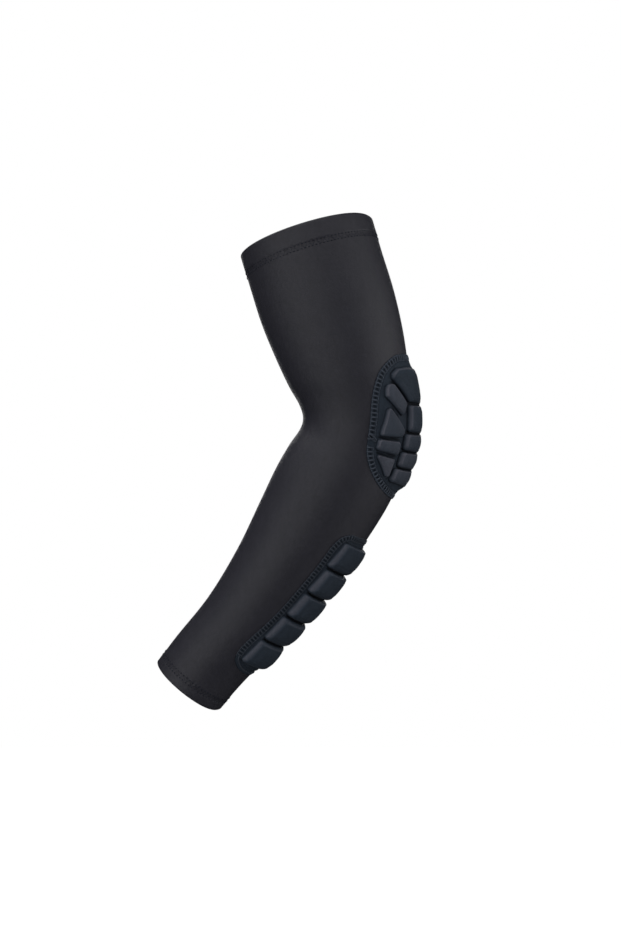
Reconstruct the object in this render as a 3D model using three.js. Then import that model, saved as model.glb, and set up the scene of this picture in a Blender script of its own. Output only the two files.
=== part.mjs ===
// Padded arm sleeve: a knitted tube bent at the elbow, with foam pads sewn on its back.
// Millimetres, +Z up. +X points to the back of the elbow and -Y to the near side of the arm.
// The origin is the middle of the upper opening, where the upper arm goes in.

import * as THREE from "three";

// Cloth and foam thicknesses.
const KNIT_WALL = 1.2;
const HEM_WALL = 2.2;
const SEAT_GAP = 0.5; // at the corners of the facets, about 0.3 at their middles
const BACKING_THICKNESS = 2;

// Depth of the two hems, and the rounding of their folded edges.
const UPPER_HEM = 14;
const WRIST_HEM = 9.5;
const FOLD_ROUND = 0.7;

// Slopes of the foam blocks: how far the top edge is set in from the foot, and where the shoulder is.
const LENGTH_BEVEL = 1.6;
const ELBOW_END_BEVEL = 2;
const FOREARM_END_BEVEL = 4.5;
const SHOULDER_SHARE = 0.6;
const SHOULDER_INSET_SHARE = 0.25;

// The blocks at the sides of the elbow stand lower than those across its back, by this share.
const SIDE_RISE_SHARE = 0.85;

// Facets of the sleeve: sides of a ring, and the length between rings along the back.
const RING_SIDES = 32;
const RING_STEP = 10;
const LATHE_RADIUS = 50;

// Sections of the arm from the upper opening to the wrist. x and z place the middle of the section, lean
// is how far its back points above the horizontal in degrees, depth is half its size from front to back,
// and breadth is half its size from side to side.
const SECTIONS = [
  { at: "upper opening", x: 0, z: 0, lean: 16.5, depth: 51, breadth: 50 },
  { at: "upper hem", x: 7.6, z: -25.5, lean: 16.2, depth: 51, breadth: 50 },
  { at: "biceps", x: 16.3, z: -53.3, lean: 13.7, depth: 51, breadth: 49.5 },
  { at: "lower biceps", x: 24.6, z: -80.3, lean: 10.7, depth: 48.9, breadth: 48 },
  { at: "above elbow", x: 31.7, z: -106.1, lean: 6.2, depth: 45.4, breadth: 46 },
  { at: "elbow top", x: 36.9, z: -126, lean: 0, depth: 41.9, breadth: 43.5 },
  { at: "elbow crease", x: 38.3, z: -141.8, lean: -8.4, depth: 41, breadth: 42 },
  { at: "elbow foot", x: 35.1, z: -156.8, lean: -17.9, depth: 41.6, breadth: 42 },
  { at: "below elbow", x: 26.9, z: -173.6, lean: -24, depth: 43.3, breadth: 43 },
  { at: "forearm belly", x: 16.2, z: -192.8, lean: -26.9, depth: 43.4, breadth: 43 },
  { at: "upper forearm", x: 1.5, z: -217.9, lean: -30.3, depth: 41, breadth: 41 },
  { at: "middle forearm", x: -22.3, z: -253.5, lean: -35.2, depth: 35.3, breadth: 37 },
  { at: "lower forearm", x: -46.8, z: -287.6, lean: -35.3, depth: 31.9, breadth: 33 },
  { at: "wrist", x: -72.4, z: -316.9, lean: -35.9, depth: 30.2, breadth: 30.5 },
  { at: "wrist opening", x: -88.2, z: -336.4, lean: -38, depth: 29.3, breadth: 30 },
];

// Outlines of the two sewn panels. along is measured down the back of the sleeve from the upper opening,
// and half is the panel's reach to each side, measured around the sleeve.
const ELBOW_PANEL = [
  { along: 107.3, half: 24 },
  { along: 108.4, half: 34 },
  { along: 112.2, half: 42 },
  { along: 120.8, half: 51 },
  { along: 131.8, half: 55.2 },
  { along: 157.2, half: 58 },
  { along: 178, half: 58 },
  { along: 192.7, half: 56.2 },
  { along: 202.6, half: 50.6 },
  { along: 212, half: 38.5 },
  { along: 216.2, half: 24 },
  { along: 217, half: 12 },
];
const FOREARM_PANEL = [
  { along: 253.5, half: 26 },
  { along: 254.6, half: 35 },
  { along: 259, half: 40.5 },
  { along: 268, half: 42.6 },
  { along: 279, half: 41.4 },
  { along: 297, half: 39.4 },
  { along: 329, half: 37.8 },
  { along: 345, half: 38.7 },
  { along: 358, half: 39.8 },
  { along: 370, half: 39.6 },
  { along: 377.5, half: 37 },
  { along: 382.8, half: 29.8 },
  { along: 385.2, half: 19 },
];

// How high the tops of the foam blocks stand above the sleeve, along its back.
const ELBOW_SWELL = [
  { along: 114, rise: 4.6 },
  { along: 122, rise: 5.8 },
  { along: 134, rise: 7 },
  { along: 150, rise: 7.9 },
  { along: 176, rise: 7.9 },
  { along: 192, rise: 7 },
  { along: 208, rise: 6 },
];
const FOREARM_SWELL = [
  { along: 258, rise: 6 },
  { along: 285, rise: 7.8 },
  { along: 305, rise: 8.8 },
  { along: 328, rise: 8.7 },
  { along: 345, rise: 7.5 },
  { along: 378, rise: 5.4 },
];

// Feet of the foam blocks, in the panels' measures. Each station gives the block's upper and lower edge at
// one distance around the sleeve, and the edges run straight between stations.
const ELBOW_SPINE = [
  {
    name: "crown",
    stations: [
      { around: 0, from: 116.8, to: 143.7 },
      { around: 26.3, from: 117.2, to: 143.9 },
      { around: 37.4, from: 118.4, to: 131.4 },
      { around: 42, from: 122, to: 126.4 },
    ],
  },
  {
    name: "spine_1",
    stations: [
      { around: 0, from: 145.1, to: 164.4 },
      { around: 27.8, from: 146.3, to: 166.2 },
    ],
  },
  {
    name: "spine_2",
    stations: [
      { around: 0, from: 165.8, to: 178.1 },
      { around: 28.8, from: 168.3, to: 180.5 },
    ],
  },
  {
    name: "spine_3",
    stations: [
      { around: 0, from: 179.5, to: 190.8 },
      { around: 30.2, from: 182.1, to: 193.8 },
    ],
  },
  {
    name: "spine_4",
    stations: [
      { around: 0, from: 192.2, to: 205 },
      { around: 31.8, from: 195.6, to: 206.2 },
    ],
  },
];
const ELBOW_SIDE = [
  {
    name: "1",
    stations: [
      { around: 29.8, from: 144, to: 146.4 },
      { around: 33.4, from: 139.4, to: 156.2 },
      { around: 40.4, from: 130.2, to: 148.2 },
      { around: 46, from: 130.3, to: 141.8 },
      { around: 47.8, from: 133.6, to: 139.8 },
    ],
  },
  {
    name: "2",
    stations: [
      { around: 31.6, from: 165.2, to: 169.4 },
      { around: 34.1, from: 162, to: 172.6 },
      { around: 44.4, from: 149, to: 174 },
      { around: 46.8, from: 150.2, to: 174.4 },
      { around: 50.4, from: 169, to: 174.8 },
    ],
  },
  {
    name: "3",
    stations: [
      { around: 33.4, from: 174.9, to: 186.4 },
      { around: 51.4, from: 177.6, to: 187.4 },
    ],
  },
  {
    name: "4",
    stations: [
      { around: 34.8, from: 189.6, to: 203.6 },
      { around: 38, from: 190, to: 204.2 },
      { around: 48.8, from: 190.9, to: 193 },
    ],
  },
];
const FOREARM_ROW = [
  { name: "1", half: 34.8, from: 260.5, to: 283.2 },
  { name: "2", half: 31.8, from: 284.7, to: 306.8 },
  { name: "3", half: 31, from: 308.3, to: 329.7 },
  { name: "4", half: 31.6, from: 331.2, to: 352.9 },
  { name: "5", half: 32.2, from: 354.4, to: 375.5 },
];

// Facets of the panels and blocks: across the sleeve, along it, and through the thickness.
const ELBOW_PANEL_FACETS = { across: 18, along: 20, through: 1 };
const FOREARM_PANEL_FACETS = { across: 14, along: 20, through: 1 };
const CROWN_FACETS = { across: 12, along: 4, through: 2 };
const WIDE_BLOCK_FACETS = { across: 8, along: 3, through: 2 };
const SIDE_BLOCK_FACETS = { across: 5, along: 3, through: 2 };

const knit = new THREE.MeshStandardMaterial({ color: 0x303036, roughness: 0.75, metalness: 0 });
const padCloth = new THREE.MeshStandardMaterial({ color: 0x23272d, roughness: 0.6, metalness: 0 });

const middles = new THREE.CatmullRomCurve3(
  SECTIONS.map((s) => new THREE.Vector3(s.x, s.z, THREE.MathUtils.degToRad(s.lean))),
  false,
  "catmullrom",
);
const halves = new THREE.CatmullRomCurve3(
  SECTIONS.map((s) => new THREE.Vector3(s.depth, s.breadth, 0)),
  false,
  "catmullrom",
);

// A point of the sleeve's outer face: share runs from the upper opening (0) to the wrist (1), and angle
// turns around the arm from its back (0) towards the near side.
function skin(share, angle) {
  const middle = middles.getPoint(share);
  const half = halves.getPoint(share);
  const reach = half.x * Math.cos(angle);
  return new THREE.Vector3(
    middle.x + reach * Math.cos(middle.z),
    -half.y * Math.sin(angle),
    middle.y + reach * Math.sin(middle.z),
  );
}

// The line down the back of the sleeve, which all lengths along it are measured on.
class BackLine extends THREE.Curve {
  getPoint(share) {
    return skin(share, 0);
  }
}

const backLine = new BackLine();
backLine.arcLengthDivisions = 600;
const SLEEVE_LENGTH = backLine.getLength();

// The share of the sleeve at a length along its back, kept inside both openings.
function shareAt(along) {
  return backLine.getUtoTmapping(0, THREE.MathUtils.clamp(along, 0, SLEEVE_LENGTH));
}

// Puts a point of the flat pattern on the arm: along the back line, turned by angle, and raised from the
// sleeve's outer face by height.
function drape(along, angle, height) {
  const small = 1e-3;
  const share = shareAt(along);
  const lengthwise = skin(Math.min(share + small, 1), angle).sub(skin(Math.max(share - small, 0), angle));
  const sideways = skin(share, angle + small).sub(skin(share, angle - small));
  const outward = sideways.cross(lengthwise).normalize();
  return skin(share, angle).addScaledVector(outward, height);
}

// The same for the pads, whose pattern is measured around the sleeve in millimetres.
function drapePad(along, around, height) {
  const half = halves.getPoint(shareAt(along));
  const radius = (half.x + half.y) / 2;
  return drape(along, around / radius, height);
}

// Moves every vertex of a flat pattern to its place on the arm.
function shapeWith(geometry, place) {
  const position = geometry.attributes.position;
  const vertex = new THREE.Vector3();
  for (let i = 0; i < position.count; i += 1) {
    vertex.fromBufferAttribute(position, i);
    const moved = place(vertex);
    position.setXYZ(i, moved.x, moved.y, moved.z);
  }
  geometry.computeVertexNormals();
  return geometry;
}

// The value of a table's column at a place between its rows, on straight lines from row to row.
function readColumn(rows, key, at, column) {
  const last = rows.length - 2;
  const next = rows.findIndex((row) => row[key] >= at);
  const i = THREE.MathUtils.clamp(next < 0 ? last : next - 1, 0, last);
  const share = (at - rows[i][key]) / (rows[i + 1][key] - rows[i][key]);
  return THREE.MathUtils.lerp(rows[i][column], rows[i + 1][column], THREE.MathUtils.clamp(share, 0, 1));
}

// The wall of the sleeve as a closed profile: down the outside, around the wrist fold, up the inside and
// around the upper fold. x is the height from the outer face, y the length along the back.
function wallProfile() {
  const wristLine = SLEEVE_LENGTH - WRIST_HEM;
  const rings = Math.round((wristLine - UPPER_HEM) / RING_STEP);
  const body = Array.from({ length: rings + 1 }, (_, i) =>
    THREE.MathUtils.lerp(UPPER_HEM, wristLine, i / rings),
  );
  const outer = [FOLD_ROUND, ...body, SLEEVE_LENGTH - FOLD_ROUND].map((along) => [0, along]);
  const wristFold = [
    [-FOLD_ROUND, SLEEVE_LENGTH],
    [FOLD_ROUND - HEM_WALL, SLEEVE_LENGTH],
    [-HEM_WALL, SLEEVE_LENGTH - FOLD_ROUND],
    [-HEM_WALL, wristLine + FOLD_ROUND],
  ];
  const inner = body.toReversed().map((along) => [-KNIT_WALL, along]);
  const upperFold = [
    [-HEM_WALL, UPPER_HEM - FOLD_ROUND],
    [-HEM_WALL, FOLD_ROUND],
    [FOLD_ROUND - HEM_WALL, 0],
    [-FOLD_ROUND, 0],
  ];
  const loop = [...outer, ...wristFold, ...inner, ...upperFold];
  return [...loop, loop[0]].map(([height, along]) => new THREE.Vector2(LATHE_RADIUS + height, along));
}

function makeSleeve() {
  const tube = new THREE.LatheGeometry(wallProfile(), RING_SIDES);
  return shapeWith(tube, ({ x, y, z }) => drape(y, Math.atan2(x, z), Math.hypot(x, z) - LATHE_RADIUS));
}

// A sewn panel that lies on the sleeve inside its outline table. Its facets are shortest at both ends,
// where the outline turns most.
function makePanel(outline, facets) {
  const sheet = new THREE.BoxGeometry(2, 1, 1, facets.across, facets.along, facets.through);
  const start = outline[0].along;
  const end = outline.at(-1).along;
  return shapeWith(sheet, ({ x, y, z }) => {
    const along = THREE.MathUtils.lerp(start, end, (1 - Math.sin(Math.PI * y)) / 2);
    const around = -x * readColumn(outline, "along", along, "half");
    return drapePad(along, around, SEAT_GAP + (z + 0.5) * BACKING_THICKNESS);
  });
}

// A foam block on its panel. The foot follows the stations, the top follows the swell, and the sides lean
// in to the top: by LENGTH_BEVEL up and down the arm, and by endBevel at both ends around it.
function makeBlock(stations, swell, endBevel, facets, riseShare = 1) {
  const block = new THREE.BoxGeometry(1, 1, 2, facets.across, facets.along, facets.through);
  const foot = SEAT_GAP + BACKING_THICKNESS + SEAT_GAP;
  const insetShares = [0, SHOULDER_INSET_SHARE, 1];
  const heightShares = [0, SHOULDER_SHARE, 1];
  const first = stations[0].around;
  const last = stations.at(-1).around;
  return shapeWith(block, ({ x, y, z }) => {
    const layer = Math.round(z + 1);
    const inset = insetShares[layer];
    const ends = inset * endBevel;
    const around = THREE.MathUtils.lerp(first + ends, last - ends, 0.5 - x);
    const from = readColumn(stations, "around", around, "from") + inset * LENGTH_BEVEL;
    const to = readColumn(stations, "around", around, "to") - inset * LENGTH_BEVEL;
    const along = THREE.MathUtils.lerp(from, to, 0.5 - y);
    const rise = riseShare * readColumn(swell, "along", along, "rise");
    return drapePad(along, around, THREE.MathUtils.lerp(foot, rise, heightShares[layer]));
  });
}

// The stations of a block on the other side of the back line, in rising order of around.
function mirrored(stations) {
  return stations.map((s) => ({ ...s, around: -s.around })).toReversed();
}

// The stations of a block that crosses the back line, from those of its near half.
function acrossBack(stations) {
  return [...mirrored(stations.slice(1)), ...stations];
}

function named(name, geometry, material) {
  const mesh = new THREE.Mesh(geometry, material);
  mesh.name = name;
  return mesh;
}

function makeElbowPad() {
  const pad = new THREE.Group();
  pad.add(named("elbow_backing", makePanel(ELBOW_PANEL, ELBOW_PANEL_FACETS), padCloth));
  for (const { name, stations } of ELBOW_SPINE) {
    const facets = name === "crown" ? CROWN_FACETS : WIDE_BLOCK_FACETS;
    const block = makeBlock(acrossBack(stations), ELBOW_SWELL, ELBOW_END_BEVEL, facets);
    pad.add(named(`elbow_block_${name}`, block, padCloth));
  }
  for (const { name, stations } of ELBOW_SIDE) {
    for (const [side, feet] of [["near", stations], ["far", mirrored(stations)]]) {
      const block = makeBlock(feet, ELBOW_SWELL, ELBOW_END_BEVEL, SIDE_BLOCK_FACETS, SIDE_RISE_SHARE);
      pad.add(named(`elbow_block_${side}_${name}`, block, padCloth));
    }
  }
  return pad;
}

function makeForearmPad() {
  const pad = new THREE.Group();
  pad.add(named("forearm_backing", makePanel(FOREARM_PANEL, FOREARM_PANEL_FACETS), padCloth));
  for (const { name, half, from, to } of FOREARM_ROW) {
    const stations = [-half, half].map((around) => ({ around, from, to }));
    const block = makeBlock(stations, FOREARM_SWELL, FOREARM_END_BEVEL, WIDE_BLOCK_FACETS);
    pad.add(named(`forearm_block_${name}`, block, padCloth));
  }
  return pad;
}

const armSleeve = new THREE.Group();
armSleeve.add(named("sleeve", makeSleeve(), knit), makeElbowPad(), makeForearmPad());

export default armSleeve;
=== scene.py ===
"""Padded arm sleeve: knit, moulded foam pads and stitching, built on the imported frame.

The tables are in millimetres, as in the part's source, and every mesh is built in metres. A place on the
sleeve is given by two lengths: around, from the back line towards the near side of the arm, and along, down
the back line from the upper opening. Height is measured outwards from the sleeve's outer face.
"""

import logging
import math
from dataclasses import astuple, dataclass, field
from enum import Enum
from typing import Callable, TypeVar

import bpy
import numpy as np
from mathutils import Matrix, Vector
from mathutils.geometry import delaunay_2d_cdt

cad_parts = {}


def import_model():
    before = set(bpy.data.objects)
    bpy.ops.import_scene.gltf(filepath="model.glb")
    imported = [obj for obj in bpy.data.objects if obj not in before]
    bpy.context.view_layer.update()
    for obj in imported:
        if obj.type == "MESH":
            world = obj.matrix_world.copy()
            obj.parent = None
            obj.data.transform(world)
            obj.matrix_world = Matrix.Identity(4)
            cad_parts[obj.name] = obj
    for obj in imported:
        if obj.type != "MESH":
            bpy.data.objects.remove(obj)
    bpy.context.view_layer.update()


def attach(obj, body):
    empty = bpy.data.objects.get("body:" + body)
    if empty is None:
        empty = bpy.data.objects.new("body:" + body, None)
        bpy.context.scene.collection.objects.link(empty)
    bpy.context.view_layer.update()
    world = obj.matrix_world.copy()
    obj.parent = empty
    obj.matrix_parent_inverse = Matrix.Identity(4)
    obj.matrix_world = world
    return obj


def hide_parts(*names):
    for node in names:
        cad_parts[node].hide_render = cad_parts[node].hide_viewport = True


MM = 0.001
BODY = "root"
PATTERN_MAP = "pattern"
# Attribute of light and shade painted into the pad cloth's colour: -1 painted shade, 1 painted highlight.
PAINTED_LIGHT = "painted_light"
LIFT = "lift"
SMALLEST = 1e-9
# Options of the triangulation: only faces inside the loop, and the distance at which points merge.
INSIDE_ONLY = 1
MERGE_DISTANCE = 1e-6
# Points inside a loop keep this share of their spacing from its edge.
EDGE_CLEARANCE = 0.6
# Points on each stretch of a smooth curve, before the curve is spaced evenly.
CURVE_POINTS = 24
# Height of a row of stitches above the cloth, in radii of its thread.
GUIDE_LIFT = 0.2

Row = TypeVar("Row")
log = logging.getLogger("arm_sleeve")


class Slot(Enum):
    """Material slots."""

    KNIT = "sleeve_knit"
    CLOTH = "pad_cloth"
    THREAD = "thread"


@dataclass(frozen=True)
class Section:
    """One section of the arm: place of its middle, lean of its back in degrees and half sizes."""

    x: float
    z: float
    lean: float
    depth: float
    breadth: float


@dataclass(frozen=True)
class Reach:
    """How far a sewn panel reaches to each side of the back line."""

    along: float
    half: float


@dataclass(frozen=True)
class Swell:
    """How high the foam stands above the sleeve."""

    along: float
    rise: float


@dataclass(frozen=True)
class Station:
    """Upper and lower edge of a foam block at one distance around the sleeve."""

    around: float
    start: float
    stop: float


@dataclass(frozen=True)
class Step:
    """One step of a moulded edge: shares of the bevel's width and height, and the light painted into the
    cloth's colour.

    The painted light runs from -1, painted shade, to 1, painted highlight. The end value is the painted
    light of a block's ends where they are open to the seam.
    """

    inset: float
    height: float
    painted_light: float
    end_painted_light: float


@dataclass(frozen=True)
class Ridge:
    """One step of a sewn border, from the panel's edge inwards."""

    inset: float
    height: float


def table(kind: type[Row], *rows: tuple[float, ...]) -> tuple[Row, ...]:
    """Fills a table: an item for each row, whose values follow the order of the item's fields."""
    return tuple(kind(*row) for row in rows)


ARM_SECTIONS = table(
    Section,
    (0, 0, 16.5, 51, 50),
    (7.6, -25.5, 16.2, 51, 50),
    (16.3, -53.3, 13.7, 51, 49.5),
    (24.6, -80.3, 10.7, 48.9, 48),
    (31.7, -106.1, 6.2, 45.4, 46),
    (36.9, -126, 0, 41.9, 43.5),
    (38.3, -141.8, -8.4, 41, 42),
    (35.1, -156.8, -17.9, 41.6, 42),
    (26.9, -173.6, -24, 43.3, 43),
    (16.2, -192.8, -26.9, 43.4, 43),
    (1.5, -217.9, -30.3, 41, 41),
    (-22.3, -253.5, -35.2, 35.3, 37),
    (-46.8, -287.6, -35.3, 31.9, 33),
    (-72.4, -316.9, -35.9, 30.2, 30.5),
    (-88.2, -336.4, -38, 29.3, 30),
)

ELBOW_OUTLINE = table(
    Reach,
    *((107.3, 24), (108.4, 34), (112.2, 42), (120.8, 51), (131.8, 55.2), (157.2, 58)),
    *((178, 58), (192.7, 56.2), (202.6, 50.6), (212, 38.5), (216.2, 24), (217, 12)),
)
FOREARM_OUTLINE = table(
    Reach,
    *((253.5, 26), (254.6, 35), (259, 40.5), (268, 42.6), (279, 41.4), (297, 39.4), (329, 37.8)),
    *((345, 38.7), (358, 39.8), (370, 39.6), (377.5, 37), (382.8, 29.8), (385.2, 19)),
)
ELBOW_SWELL = table(
    Swell,
    *((114, 4.6), (122, 5.8), (134, 7), (150, 7.9), (176, 7.9), (192, 7), (208, 6)),
)
FOREARM_SWELL = table(
    Swell,
    *((258, 6), (285, 7.8), (305, 8.8), (328, 8.7), (345, 7.5), (357, 6.3), (368, 6.8), (378, 6.5)),
)

CROWN = table(
    Station,
    *((0, 118.4, 143.7), (26.3, 117.2, 143.9), (37.4, 118.4, 131.4), (42, 122, 126.4)),
)
SPINE_BLOCKS = (
    table(Station, (0, 145.5, 164.6), (27.8, 146.1, 166.4)),
    table(Station, (0, 165.8, 178.3), (30.2, 168.1, 180.7)),
    table(Station, (0, 179.5, 191), (31, 182, 194)),
    table(Station, (0, 192.2, 205), (32.6, 195.4, 206.2)),
)
SIDE_BLOCKS = (
    table(
        Station,
        *((29.8, 144, 146.4), (33.4, 139.4, 156.2), (40.4, 130.2, 148.2)),
        *((46, 130.3, 141.8), (47.8, 133.6, 139.8)),
    ),
    table(
        Station,
        *((31.6, 165.2, 169.2), (34.1, 162, 172), (44.4, 149, 173.3)),
        *((46.8, 150.2, 173.6), (50.4, 169, 174)),
    ),
    table(Station, (33.4, 174.8, 186.2), (51.4, 177, 187)),
    table(Station, (34.8, 188.9, 203.6), (38, 189.3, 204.2), (48.8, 190.1, 192.6)),
)
FOREARM_BLOCKS = tuple(
    table(Station, (-half, start, stop), (half, start, stop))
    for half, start, stop in (
        (36, 260.5, 283.2),
        (33.5, 284.7, 306.8),
        (32.7, 308.3, 329.7),
        (33.3, 331.2, 352.9),
        (33.5, 354.4, 376.2),
    )
)

# Painted light on a block's sides: painted shade at the foot, painted highlight on the bevel; the last
# column is for ends open to the seam.
MOULDED_EDGE = table(
    Step,
    (-0.1, -0.3, -1, -0.6),
    (-0.1, 0, -1, -0.5),
    (-0.03, 0.08, -0.8, -0.2),
    (0, 0.18, -0.9, 0.3),
    (0.04, 0.31, -0.6, 0.65),
    (0.12, 0.45, -0.1, 0.8),
    (0.32, 0.66, 0.45, 0.65),
    (0.52, 0.83, 0.8, 0.32),
    (0.66, 0.925, 1, 0.15),
    (0.76, 0.972, 0.9, 0.05),
    (0.87, 0.992, 0.45, 0),
    (1, 1, 0.1, 0),
)
SEWN_BORDER = table(
    Ridge,
    *((0.6, 0.02), (0.05, 0.05), (0, 0.16), (0.1, 0.32), (0.5, 0.48), (1.1, 0.52), (1.7, 0.5)),
    *((2.3, 0.48), (2.9, 0.5), (3.5, 0.56), (4.2, 0.68), (4.8, 0.8), (5.3, 0.95), (6, 1.45)),
)
# The first steps of the border lie under its edge.
SEAM_BORDER = SEWN_BORDER[2:]


def mirrored(stations: tuple[Station, ...]) -> tuple[Station, ...]:
    """The same block on the far side of the back line."""
    return tuple(Station(-s.around, s.start, s.stop) for s in reversed(stations))


def across_back(stations: tuple[Station, ...]) -> tuple[Station, ...]:
    """The whole of a block that crosses the back line, from its near half."""
    return mirrored(stations[1:]) + stations


def smooth_step(values: np.ndarray) -> np.ndarray:
    """Eases from 0 to 1 as the values run from 0 to 1."""
    share = np.clip(values, 0, 1)
    return share * share * (3 - 2 * share)


def bell(values: np.ndarray) -> np.ndarray:
    """Falls from 1 where the values are 0 to almost nothing where they are 2 or -2."""
    return np.exp(-(values**2))


def smooth_curve(
    first: np.ndarray, last: np.ndarray, leave: np.ndarray, arrive: np.ndarray, share: np.ndarray
) -> np.ndarray:
    """Runs along a cubic curve.

    Args:
        first: where it starts.
        last: where it ends.
        leave: its slope at the start.
        arrive: its slope at the end.
        share: places from its start, 0, to its end, 1.

    Returns:
        The points there.
    """
    bend = 2 * first - 2 * last + leave + arrive
    pull = 3 * last - 3 * first - 2 * leave - arrive
    return ((bend * share + pull) * share + leave) * share + first


def read_off(rows: tuple[Row, ...], places: np.ndarray) -> np.ndarray:
    """Reads a table of two columns at places between its rows."""
    return np.interp(places, *np.transpose([astuple(row) for row in rows]))


class ArmForm:
    """The outer face of the sleeve on a bent arm, which every piece lies on."""

    def __init__(self, sections: tuple[Section, ...], divisions: int = 600) -> None:
        """Reads the sections and measures the back line.

        Args:
            sections: the arm from the upper opening to the wrist.
            divisions: how finely the back line is measured.
        """
        rows = np.array([[s.x, s.z, math.radians(s.lean), s.depth, s.breadth] for s in sections])
        self.rows = np.vstack([2 * rows[0] - rows[1], rows, 2 * rows[-1] - rows[-2]])
        self.shares = np.linspace(0, 1, divisions + 1)
        back = self.skin(self.shares, np.zeros(divisions + 1))
        steps = np.linalg.norm(np.diff(back, axis=0), axis=1)
        self.lengths = np.concatenate([[0], np.cumsum(steps)])
        self.length = float(self.lengths[-1])

    def section_at(self, share: np.ndarray) -> np.ndarray:
        """Reads the arm's section between the rows of the table.

        Args:
            share: places from the upper opening, 0, to the wrist, 1.

        Returns:
            Columns x, z, lean, depth and breadth for each place.
        """
        last = len(self.rows) - 3
        place = np.clip(share, 0, 1) * last
        row = np.minimum(place.astype(int), last - 1)
        before, here, ahead, beyond = (self.rows[row + i] for i in range(4))
        leave, arrive = (ahead - before) / 2, (beyond - here) / 2
        return smooth_curve(here, ahead, leave, arrive, (place - row)[..., None])

    def skin(self, share: np.ndarray, angle: np.ndarray) -> np.ndarray:
        """Finds points of the outer face.

        Args:
            share: places from the upper opening, 0, to the wrist, 1.
            angle: turn around the arm from its back, in radians.

        Returns:
            Points in millimetres.
        """
        x, z, lean, depth, breadth = np.moveaxis(self.section_at(share), -1, 0)
        reach = depth * np.cos(angle)
        across = -breadth * np.sin(angle)
        return np.stack([x + reach * np.cos(lean), across, z + reach * np.sin(lean)], axis=-1)

    def share_at(self, along: np.ndarray) -> np.ndarray:
        """The share of the sleeve at lengths along its back line."""
        return np.interp(along, self.lengths, self.shares)

    def radius_at(self, along: np.ndarray) -> np.ndarray:
        """The arm's mean radius at lengths along its back line."""
        return self.section_at(self.share_at(along))[..., 3:].mean(axis=-1)

    def outward(self, along: np.ndarray, angle: np.ndarray) -> np.ndarray:
        """Finds the directions that point straight out of the sleeve.

        Args:
            along: lengths along the back line.
            angle: turn around the arm from its back, in radians.

        Returns:
            Unit vectors.
        """
        small = 1e-3
        share = self.share_at(along)
        low, high = np.maximum(share - small, 0), np.minimum(share + small, 1)
        lengthwise = self.skin(high, angle) - self.skin(low, angle)
        sideways = self.skin(share, angle + small) - self.skin(share, angle - small)
        normal = np.cross(sideways, lengthwise)
        return normal / np.linalg.norm(normal, axis=-1, keepdims=True)

    def drape(self, along: np.ndarray, angle: np.ndarray, height: np.ndarray) -> np.ndarray:
        """Places points on the arm.

        Args:
            along: lengths along the back line.
            angle: turn around the arm from its back, in radians.
            height: heights above the outer face.

        Returns:
            Points in metres.
        """
        along, angle, height = np.broadcast_arrays(along, angle, height)
        face = self.skin(self.share_at(along), angle)
        return (face + self.outward(along, angle) * height[..., None]) * MM

    def lay(self, plan: np.ndarray, height: np.ndarray) -> np.ndarray:
        """Places points of the flat pattern on the arm.

        Args:
            plan: rows of around and along.
            height: heights above the outer face.

        Returns:
            Points in metres.
        """
        return self.drape(plan[:, 1], plan[:, 0] / self.radius_at(plan[:, 1]), height)

    def lift(self, plan: np.ndarray) -> np.ndarray:
        """The outward directions at points of the flat pattern."""
        return self.outward(plan[:, 1], plan[:, 0] / self.radius_at(plan[:, 1]))


def add_to_scene(name: str, data: bpy.types.ID) -> bpy.types.Object:
    """Adds an object to the scene, at the origin.

    Args:
        name: the object's name.
        data: the mesh, light or camera that it shows.

    Returns:
        The object.
    """
    made = bpy.data.objects.new(name, data)
    bpy.context.collection.objects.link(made)
    return made


def make_object(
    name: str,
    points: np.ndarray,
    faces: list[list[int]],
    material: bpy.types.Material,
    corner_map: np.ndarray | None = None,
    painted_light: np.ndarray | None = None,
) -> bpy.types.Object:
    """Makes a smooth mesh object.

    Args:
        name: the object's name.
        points: vertices in metres.
        faces: vertex numbers of each face.
        material: its finish.
        corner_map: lengths of the flat pattern in metres, a row for each corner of each face.
        painted_light: light painted into the cloth's colour at each vertex, from -1, painted shade, to 1,
            painted highlight.

    Returns:
        The object.
    """
    mesh = bpy.data.meshes.new(name)
    mesh.from_pydata(points.tolist(), [], faces)
    if corner_map is not None:
        layer = mesh.uv_layers.new(name=PATTERN_MAP)
        layer.data.foreach_set("uv", corner_map.astype(np.float32).ravel())
    if painted_light is not None:
        mesh.attributes.new(PAINTED_LIGHT, "FLOAT", "POINT").data.foreach_set("value", painted_light.astype(np.float32))
    mesh.shade_smooth()
    mesh.materials.append(material)
    mesh.update()
    return add_to_scene(name, mesh)


def register(piece: bpy.types.Object, nodes: tuple[str, ...] = ()) -> None:
    """Ties a piece to the frame and reports it.

    Args:
        piece: the finished object.
        nodes: the CAD nodes that it stands for.
    """
    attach(piece, BODY)
    if nodes:
        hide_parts(*nodes)
    log.info("%s: %d faces", piece.name, len(piece.data.polygons))


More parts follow.
